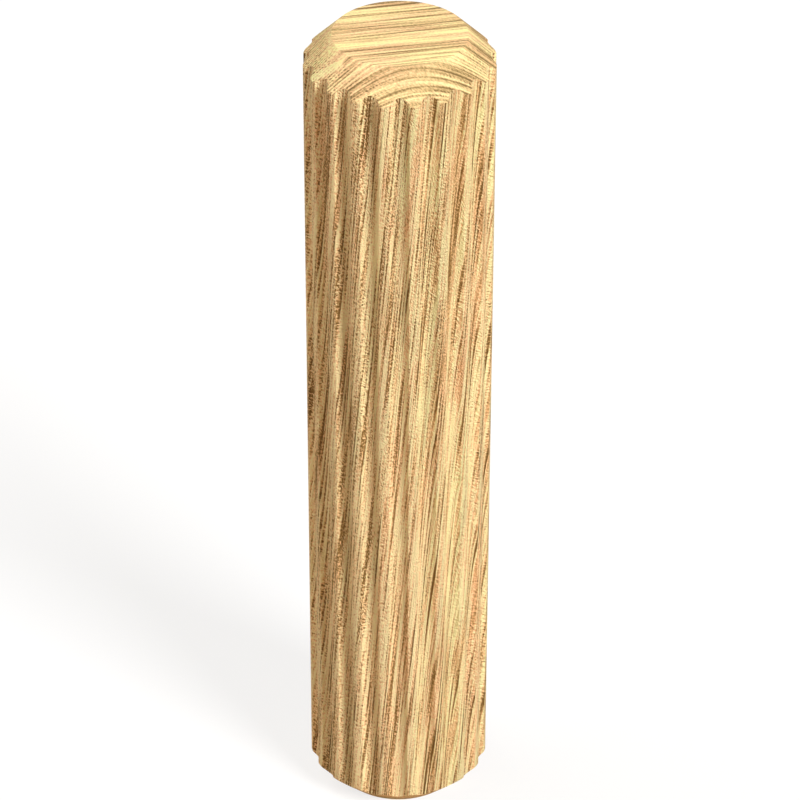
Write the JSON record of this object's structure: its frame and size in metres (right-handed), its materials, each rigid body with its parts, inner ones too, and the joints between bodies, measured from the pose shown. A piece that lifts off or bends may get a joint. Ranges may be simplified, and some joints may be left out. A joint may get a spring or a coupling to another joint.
{
  "type": "fluted dowel pin",
  "caption": "Straight round wooden pin with parallel flutes along its whole length and a chamfer at each end, for joining boards end to edge.",
  "frame": {"origin": "centre of the lower end face, on which the pin stands", "axes": "+Z along the pin's axis, from the lower end to the upper end; one flute faces -Y"},
  "size_m": [0.008, 0.008, 0.038],
  "materials": {
    "wood": "bare fine-grained hardwood, unfinished"
  },
  "bodies": {
    "root": {"dowel_pin": "wood"}
  },
  "joints": []
}
